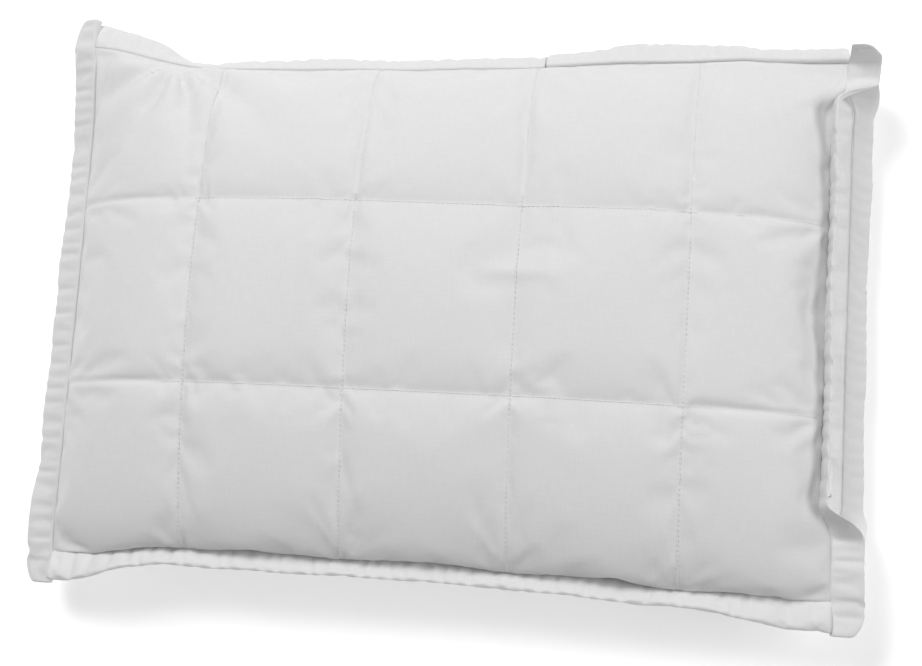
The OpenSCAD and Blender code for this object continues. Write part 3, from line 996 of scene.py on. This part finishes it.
@dataclass
class BorderStrip:
    """A padded strip of the border, folded from one width of cloth over a strip of wadding."""

    name: str
    run: Callable[[float], Station]
    length: float
    finishes: Finishes
    side: float = 0.0
    width: float = 25 * MM
    thickness: float = 9 * MM
    seam_t: float = 3.6 * MM
    cloth_t: float = 0.6 * MM
    spacing: float = 3.0 * MM
    around: int = 22
    puff: Inflation = Inflation(pressure=7.0, slack=0.03, cap=3 * MM, frames=14, bending=0.3)
    hold: float = 0.05
    seam_share: float = 0.1
    waviness: float = 0.8 * MM
    tuck: float = 1.2 * MM
    pucker: float = 0.8 * MM
    pucker_pitch: float = 13 * MM
    seed: float = 0.0

    def section(self, a: float) -> tuple[float, float]:
        """A point of the cross-section.

        Args:
            a: the way round it, from 0 at the seam, along the upper side, to 1 at the seam again.

        Returns:
            How far out and how far up it lies, in metres.
        """
        turn = 2 * math.pi * a
        out = (1 - math.cos(turn)) / 2
        bulge = abs(math.sin(turn)) ** 0.7
        half = self.thickness / 2 * bulge + self.seam_t / 2 * (1 - out) ** 3 * (1 - bulge)
        sign = 1 if a < 0.5 else -1
        return out * self.width, sign * half + self.side * self.thickness / 2 * (1 - 0.3 * out)

    def place(self, s: float, a: float) -> Vector:
        """The point at share s along the strip and share a round it."""
        station = self.run(s)
        out, up = self.section(a)
        out *= station.narrow
        wave = self.waviness * (out / self.width) * ripple(station.foot, 42 * MM, self.seed)
        uneven = 0.9 * ripple(station.foot, 25 * MM, self.seed + 9)
        turn = math.pi * (s * self.length / self.pucker_pitch + uneven)
        drawn = self.pucker * (abs(math.sin(turn)) - 0.64) * math.sin(2 * math.pi * a)
        out += wave - self.tuck
        return station.foot + station.out * out + station.up * (up + 1.4 * wave + drawn)

    def build(self) -> None:
        """Builds the casing from a sheet rolled into a tube, puffs it out, then fills it."""
        steps = max(8, round(self.length / self.spacing))
        bm = bmesh.new()
        bmesh.ops.create_grid(bm, x_segments=steps, y_segments=self.around, size=1.0)
        layer = bm.loops.layers.uv.new("flat")
        held = bm.verts.layers.float.new("held")
        spots = {}
        for vert in bm.verts:
            s = (vert.co.x + 1) / 2
            a = (vert.co.y + 1) / 2
            spots[vert] = (s, a)
            sewn = s in (0.0, 1.0) or self.section(a)[0] < self.seam_share * self.width
            vert[held] = 1.0 if sewn else self.hold
            vert.co = self.place(s, a % 1.0)
        for face in bm.faces:
            for loop in face.loops:
                s, a = spots[loop.vert]
                loop[layer].uv = (s * self.length, a * 2 * self.width)
        bm.verts.index_update()
        bmesh.ops.remove_doubles(bm, verts=bm.verts[:], dist=0.01 * MM)
        bmesh.ops.holes_fill(bm, edges=[e for e in bm.edges if e.is_boundary], sides=0)
        ends = [face for face in bm.faces if len(face.verts) > 4]
        bmesh.ops.poke(bm, faces=ends)
        bmesh.ops.recalc_face_normals(bm, faces=bm.faces[:])
        self.casing = new_object(self.name, bm, self.finishes.border)
        self.puff.run(self.casing, self.pins())
        self.wadding = self.build_wadding()

    def pins(self) -> np.ndarray:
        """Holds the strip fast at its seam and its ends, and loosely elsewhere."""
        held = self.casing.data.attributes["held"].data
        return np.array([max(self.hold, spot.value) for spot in held])

    def build_wadding(self) -> bpy.types.Object:
        """The wadding strip inside the casing, drawn in from it by the cloth's thickness."""
        bm = bmesh.new()
        bm.from_mesh(self.casing.data)
        bm.normal_update()
        inner = {vert: vert.co - vert.normal * (self.cloth_t + 0.05 * MM) for vert in bm.verts}
        for vert, place in inner.items():
            vert.co = place
        return new_object(f"{self.name}_wadding", bm)

    def dress(self) -> None:
        """Gives the strip its finish, thickness and place in the frame."""
        subdivide(self.casing)
        add_wall(self.casing, self.cloth_t)
        self.wadding.data.materials.clear()
        self.wadding.data.materials.append(self.finishes.wadding)
        finish_piece(self.casing, "border_fabric", self.name)
        finish_piece(self.wadding, "wadding", f"{self.name}_wadding")


@dataclass
class Border:
    """The flat border sewn round the cover: four strips, with the zipped end's in two layers."""

    shape: Shape
    finishes: Finishes
    width: float = 25 * MM
    join_x: float = 70 * MM
    join_step: float = 1.6 * MM
    end_lean: tuple[tuple[float, float], ...] = (
        (-1.0, -10.0), (-0.6, -22.0), (0.0, -26.0), (0.6, -28.0), (1.0, -32.0))
    head_lean: tuple[tuple[float, float], ...] = (
        (-1.0, -18.0), (-0.93, -28.0), (-0.86, -36.0), (-0.74, -64.0), (-0.4, -54.0), (0.2, -54.0),
        (0.5, -38.0), (0.85, -54.0), (1.0, -56.0))
    foot_lean: tuple[tuple[float, float], ...] = ((-1.0, 24.0), (-0.75, 43.0), (0.6, 45.0), (1.0, 14.0))
    gape_lean: float = 84.0
    back_droop: float = 48.0
    flap_turn: float = 72.0
    flap_drop: float = -78.0
    strips: list[BorderStrip] = field(default_factory=list)

    def station(self, foot: Vector, out: Vector, lean: float, narrow: float = 1.0) -> Station:
        """A cross-section that leans up by so many degrees from the level."""
        a = math.radians(lean)
        level = out.normalized()
        return Station(foot, level * math.cos(a) + Vector((0, 0, math.sin(a))),
                       Vector((0, 0, math.cos(a))) - level * math.sin(a), narrow)

    def middle(self, u: float, v: float) -> Vector:
        """The seam's middle, between the front and the back cloth."""
        return (self.shape.seam(u, v, Face.FRONT) + self.shape.seam(u, v, Face.BACK)) / 2

    def past(self, s: float) -> tuple[float, float]:
        """An end strip's place across the width: v, and how far it runs on past the seam's end."""
        reach = self.shape.half_w + self.width
        y = (2 * s - 1) * reach
        v = max(-1.0, min(1.0, y / self.shape.half_w))
        return v, y - v * self.shape.half_w

    def rounded(self, over: float, share: float = 0.3) -> float:
        """How wide an end strip still is so far past the seam's end, where its corner is rounded."""
        return 1 - share * abs(over / self.width) ** 3

    def left(self, s: float) -> Station:
        """The unzipped end's strip."""
        v, over = self.past(s)
        foot = self.middle(-1, v) + Vector((0, over, 0))
        return self.station(foot, Vector((-1, 0, 0)), along(self.end_lean, v) + 5 * ripple(foot, 120 * MM, 3),
                            self.rounded(over))

    def zipped(self, s: float, face: Face) -> Station:
        """One layer of the zipped end's strip."""
        v, over = self.past(s)
        turned = 0.0
        if over > 0:
            turned = math.radians(self.flap_turn if face is Face.FRONT else self.flap_drop)
        foot = self.shape.seam(1, v, face) + Vector((0, over * math.cos(turned), over * math.sin(turned)))
        parted = self.shape.split(foot.y)
        if face is Face.FRONT:
            lean = 6 + (self.gape_lean - 6) * parted + 7 * parted * ripple(foot, 70 * MM, 5)
            narrow = self.rounded(over, 0.6 if over > 0 else 0.3)
        else:
            lean = 6 - (6 + self.back_droop) * parted + 4 * ripple(foot, 90 * MM, 8)
            narrow = self.rounded(over)
        return self.station(foot, Vector((1, 0, 0)), lean, narrow)

    def foot(self, s: float) -> Station:
        """The foot side's strip."""
        u = 1 - 2 * s
        foot = self.middle(u, -1)
        lean = along(self.foot_lean, u) + 5 * ripple(foot, 130 * MM, 2)
        return self.station(foot, Vector((0, -1, 0)), lean)

    def head(self, u: float) -> Station:
        """The head side's strip, which droops between its corners."""
        foot = self.middle(u, 1)
        lean = along(self.head_lean, u) + 4 * ripple(foot, 110 * MM, 4)
        return self.station(foot, Vector((0, 1, 0)), lean)

    def build(self) -> None:
        """Builds the six strips."""
        shape, join = self.shape, self.join_x / self.shape.half_l
        end_l = 2 * (shape.half_w + self.width)
        side_l = 2 * shape.half_l
        half = dict(finishes=self.finishes, thickness=4.6 * MM, seam_t=1.8 * MM)

        def head_part(low: float, high: float, drop: float) -> Callable[[float], Station]:
            """The head strip from low to high, lifted a little where it laps the other part."""
            def run(s: float) -> Station:
                """The cross-section at share s along."""
                station = self.head(low + (high - low) * s)
                return Station(station.foot + station.up * drop, station.out, station.up)
            return run

        self.strips = [
            BorderStrip("border_left", self.left, end_l, self.finishes, seed=1),
            BorderStrip("border_foot", self.foot, side_l, self.finishes, seed=2),
            BorderStrip("border_head_left", head_part(-1, join, 0), side_l * (1 + join) / 2,
                        self.finishes, seed=3),
            BorderStrip("border_head_right", head_part(join, 1, self.join_step), side_l * (1 - join) / 2,
                        self.finishes, seed=4),
            BorderStrip("border_zip_front", lambda s: self.zipped(s, Face.FRONT), end_l,
                        side=0.5, seed=5, **half),
            BorderStrip("border_zip_back", lambda s: self.zipped(s, Face.BACK), end_l,
                        side=-0.5, seed=6, **half),
        ]
        for strip in self.strips:
            strip.build()

    def dress(self) -> None:
        """Dresses the six strips."""
        for strip in self.strips:
            strip.dress()


# ---------------------------------------------------------------- the zip


@dataclass
class Zip:
    """The closed zip in the gape: two tapes, two coils of monofilament, with its slider and stops."""

    shape: Shape
    finishes: Finishes
    foot: float = -135 * MM
    head: float = 176 * MM
    tape_end: float = 15 * MM
    tape_t: float = 0.6 * MM
    pitch: float = 1.3 * MM
    wire_r: float = 0.27 * MM
    turn_half_w: float = 1.25 * MM
    turn_half_h: float = 0.85 * MM
    coil_x: float = 1.2 * MM
    edge_gap: float = 0.25 * MM
    near: float = 0.7 * MM
    wrinkle: float = 2.2 * MM
    reach: float = 7 * MM

    @property
    def span(self) -> float:
        """From the chain to either seam, along the tape."""
        return math.hypot(self.reach, self.shape.gape_rise)

    def width(self, side: int) -> float:
        """A tape's width between the chain and its seam."""
        out = self.reach + (self.shape.gape_out if side > 0 else 0.0)
        return math.hypot(out, self.shape.gape_rise) - self.near - self.edge_gap

    def to_seam(self, side: int, y: float) -> Vector:
        """How far a tape's sewn edge is drawn out of the zip's own plane to reach its seam at y."""
        seam = self.shape.seam(1, y / self.shape.half_w, Face.BACK if side > 0 else Face.FRONT)
        move = seam - self.local(side * (self.span - self.edge_gap), y, 0)
        return Vector((move.x, 0, move.z))

    def local(self, across: float, y: float, out: float) -> Vector:
        """A point in the zip's own frame, across towards the back seam and out of the gape."""
        x = self.shape.half_l - self.shape.end_pull - self.reach
        level, fall = self.reach / self.span, self.shape.gape_rise / self.span
        return Vector((x + across * level + out * fall, y, self.shape.seam_h - across * fall + out * level))

    def build(self) -> None:
        """Builds the tapes and the coils."""
        self.tapes = [self.build_tape("zip_tape_front", -1), self.build_tape("zip_tape_back", 1)]
        self.coils = [self.build_coil("zip_coil_front", -1), self.build_coil("zip_coil_back", 1)]

    def build_tape(self, name: str, side: int) -> Lattice:
        """One tape, with the ripples that its sewing has drawn up along the seam.

        Args:
            name: the piece's name.
            side: -1 on the front seam's side of the chain, and 1 on the back seam's.

        Returns:
            The tape.
        """
        near, far = self.near, self.span - self.edge_gap
        low, high = self.foot - self.tape_end, self.head + self.tape_end
        steps, across = 200, 8

        def place(i: int, j: int) -> Vector:
            """The point at step i along and j across."""
            y = low + (high - low) * i / steps
            share = j / across
            shown = math.sin(math.pi * share) * smooth((share - 0.3) / 0.3)
            slant = Vector((0, y + 5 * MM * share, 0))
            draw = ripple(slant, 7 * MM, 11 + side) + 0.7 * ripple(slant, 16 * MM, 14 + side)
            spot = self.local(side * (near + (far - near) * share), y, self.wrinkle * draw * shown)
            return spot + self.to_seam(side, y) * share**3

        return Lattice.made(name, steps, across, place, (high - low, self.width(side)), Vector((1, 0, 1)))

    def build_coil(self, name: str, side: int) -> bpy.types.Object:
        """One side's coil, a flattened helix of monofilament.

        Args:
            name: the piece's name.
            side: -1 on the front side, and 1 on the back.

        Returns:
            The coil.
        """
        turns = round((self.head - self.foot) / self.pitch)
        per_turn = 10
        curve = bpy.data.curves.new(name, "CURVE")
        curve.dimensions = "3D"
        curve.bevel_depth = self.wire_r
        curve.bevel_resolution = 1
        curve.use_fill_caps = True
        spline = curve.splines.new("POLY")
        spline.points.add(turns * per_turn)
        for k, point in enumerate(spline.points):
            angle = 2 * math.pi * k / per_turn
            y = self.foot + self.pitch * (k / per_turn + (0.25 if side > 0 else -0.25)) * (turns - 1) / turns
            phase = math.pi if side > 0 else 0.0
            across = side * (self.coil_x + self.turn_half_w * math.cos(angle + phase) * side)
            out = self.tape_t / 2 + self.wire_r + self.turn_half_h * (1 + math.sin(angle))
            point.co = (*self.local(across, y, out), 1.0)
        scratch = bpy.data.objects.new(name + "_curve", curve)
        bpy.context.collection.objects.link(scratch)
        mesh = bpy.data.meshes.new_from_object(scratch.evaluated_get(bpy.context.evaluated_depsgraph_get()))
        bpy.data.objects.remove(scratch)
        mesh.name = name
        for face in mesh.polygons:
            face.use_smooth = True
        mesh.materials.clear()
        mesh.materials.append(self.finishes.coil)
        coil = bpy.data.objects.new(name, mesh)
        bpy.context.collection.objects.link(coil)
        return coil

    def dress(self) -> None:
        """Gives the zip its finishes and its place in the frame."""
        for tape, side, way in zip(self.tapes, ("front", "back"), (-1, 1)):
            tape.obj.data.materials.append(self.finishes.tape)
            add_wall(tape.obj, self.tape_t)
            finish_piece(tape.obj, "zip_tape", f"zip_tape_{side}")
            self.width(way)
        for coil, side in zip(self.coils, ("front", "back")):
            finish_piece(coil, "zip_coil", f"zip_coil_{side}")
        for node in ("zip_closed_end_stops", "zip_open_end_stop", "zip_slider", "zip_puller"):
            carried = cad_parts[node]
            carried.data.materials.clear()
            carried.data.materials.append(self.finishes.enamel)


# ---------------------------------------------------------------- the insert


@dataclass
class Insert:
    """The filled insert: a casing in two halves, sewn round a mass of fibre."""

    shape: Shape
    finishes: Finishes
    share: float = 0.95
    gap: float = 7.5 * MM
    casing_t: float = 0.5 * MM
    across: int = 40
    along: int = 60
    lumps: float = 0.8 * MM

    def point(self, i: int, j: int, face: Face, depth: float) -> Vector:
        """A point of the insert's skin, or deeper.

        Args:
            i: the step along.
            j: the step across.
            face: the face it is on.
            depth: how far under the skin.

        Returns:
            The point.
        """
        u = math.sin(math.pi / 2 * (2 * i / self.along - 1))
        v = math.sin(math.pi / 2 * (2 * j / self.across - 1))
        shape = self.shape
        full = shape.crown(u, v)
        x, y = u * self.share * shape.end_x(v), self.share * shape.plan_y(u, v)
        sunk = (self.gap + depth) * min(1.0, 4 * full)
        if face is Face.FRONT:
            y -= 0.8 * shape.overhang(full, v)
            z = shape.seam_h + max(0.0, shape.front_rise * full - sunk)
        else:
            z = min(shape.seam_h, max(shape.seam_h - shape.back_drop * full, shape.stack) + sunk)
        lump = self.lumps * full * ripple(Vector((x, y, 0)), 40 * MM, 20 + face.value)
        return Vector((x, y, z - face.value * abs(lump)))

    def build(self) -> None:
        """Builds the two halves of the casing and the fibre in them."""
        flat = (1.04 * 2 * self.share * self.shape.half_l, 1.08 * 2 * self.share * self.shape.half_w)
        self.flat = flat
        self.halves = [
            Lattice.made(f"insert_casing_{face.name.lower()}", self.along, self.across,
                         lambda i, j, face=face: self.point(i, j, face, 0), flat, Vector((0, 0, face.value)))
            for face in Face
        ]
        cores = [
            np.array([[self.point(i, j, face, self.casing_t + 0.1 * MM)[:] for j in range(1, self.across)]
                      for i in range(1, self.along)])
            for face in Face
        ]
        self.fill = between("insert_fibre_fill", cores[0], cores[1])

    def dress(self) -> None:
        """Gives the insert its finishes and its place in the frame."""
        for half, face in zip(self.halves, Face):
            half.obj.data.materials.append(self.finishes.casing)
            add_wall(half.obj, self.casing_t)
            finish_piece(half.obj, "casing_fabric", f"insert_casing_{face.name.lower()}")
        self.fill.data.materials.append(self.finishes.fibre)
        finish_piece(self.fill, "fibre_fill", "insert_fibre_fill")


# ---------------------------------------------------------------- the studio


@dataclass(frozen=True)
class Lamp:
    """A soft square light: where it stands, its side in metres and its power in watts."""

    name: str
    place: tuple[float, float, float]
    size: float
    power: float


@dataclass
class Studio:
    """The pale floor, the soft light and the camera."""

    lamps: tuple[Lamp, ...] = (
        Lamp("key", (-1.3, 1.7, 3.1), 1.4, 78.0), Lamp("side", (2.6, 0.2, 1.9), 1.4, 30.0))
    sky: float = 0.28
    floor_tone: float = 0.97
    floor_glow: float = 0.3

    distance: float = 1.30
    azimuth: float = 45.3
    elevation: float = 78.0
    roll: float = -42.2
    lens: float = 63.5
    aim: tuple[float, float, float] = (15 * MM, -18 * MM, 60 * MM)

    def build(self) -> None:
        """Sets the floor, the lights and the camera."""
        self.build_floor()
        for lamp in self.lamps:
            self.light(lamp)
        self.build_sky()
        self.build_camera()

    def build_floor(self) -> None:
        """A wide pale floor under the pillow."""
        bm = bmesh.new()
        bmesh.ops.create_grid(bm, x_segments=1, y_segments=1, size=6.0)
        floor = new_object("studio_floor", bm)
        paper = bpy.data.materials.new("pale_floor")
        paper.use_nodes = True
        shader = paper.node_tree.nodes["Principled BSDF"]
        shader.inputs["Base Color"].default_value = (self.floor_tone, self.floor_tone, self.floor_tone, 1)
        shader.inputs["Roughness"].default_value = 0.9
        shader.inputs["Emission Color"].default_value = (1, 1, 1, 1)
        shader.inputs["Emission Strength"].default_value = self.floor_glow
        floor.data.materials.append(paper)

    def light(self, lamp: Lamp) -> None:
        """Puts up one lamp, pointed at the pillow."""
        data = bpy.data.lights.new(lamp.name, "AREA")
        data.size = lamp.size
        data.energy = lamp.power
        obj = bpy.data.objects.new(lamp.name, data)
        obj.location = lamp.place
        obj.rotation_euler = (Vector(self.aim) - Vector(lamp.place)).to_track_quat("-Z", "Y").to_euler()
        bpy.context.collection.objects.link(obj)

    def build_sky(self) -> None:
        """Even white light from all round."""
        world = bpy.data.worlds.new("studio_sky")
        world.use_nodes = True
        background = world.node_tree.nodes["Background"]
        background.inputs["Color"].default_value = (1, 1, 1, 1)
        background.inputs["Strength"].default_value = self.sky
        bpy.context.scene.world = world
        bpy.context.scene.view_settings.view_transform = "Standard"

    def build_camera(self) -> None:
        """The camera, high over the foot side and a little to the zipped end's."""
        data = bpy.data.cameras.new("camera")
        data.lens = self.lens
        data.sensor_width = 36.0
        camera = bpy.data.objects.new("camera", data)
        turn = (Matrix.Rotation(math.radians(self.azimuth), 4, "Z")
                @ Matrix.Rotation(math.radians(90 - self.elevation), 4, "X")
                @ Matrix.Rotation(math.radians(self.roll), 4, "Z"))
        back = turn.to_3x3() @ Vector((0, 0, 1))
        camera.matrix_world = Matrix.Translation(Vector(self.aim) + back * self.distance) @ turn
        bpy.context.collection.objects.link(camera)
        bpy.context.scene.camera = camera


# ---------------------------------------------------------------- the whole pillow


def main() -> None:
    """Builds and dresses the pillow and its studio."""
    low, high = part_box("front_lining")
    shape = Shape(half_l=(high[0] - low[0]) / 2, half_w=(high[1] - low[1]) / 2)
    finishes = Finishes()
    grid = QuiltGrid()
    Studio().build()
    assemblies = [QuiltedFace(shape, grid, face, finishes) for face in Face]
    assemblies += [Border(shape, finishes), Zip(shape, finishes), Insert(shape, finishes)]
    for assembly in assemblies:
        assembly.build()
        assembly.dress()
        log.info("built %s", type(assembly).__name__)


if __name__ == "__main__":
    main()
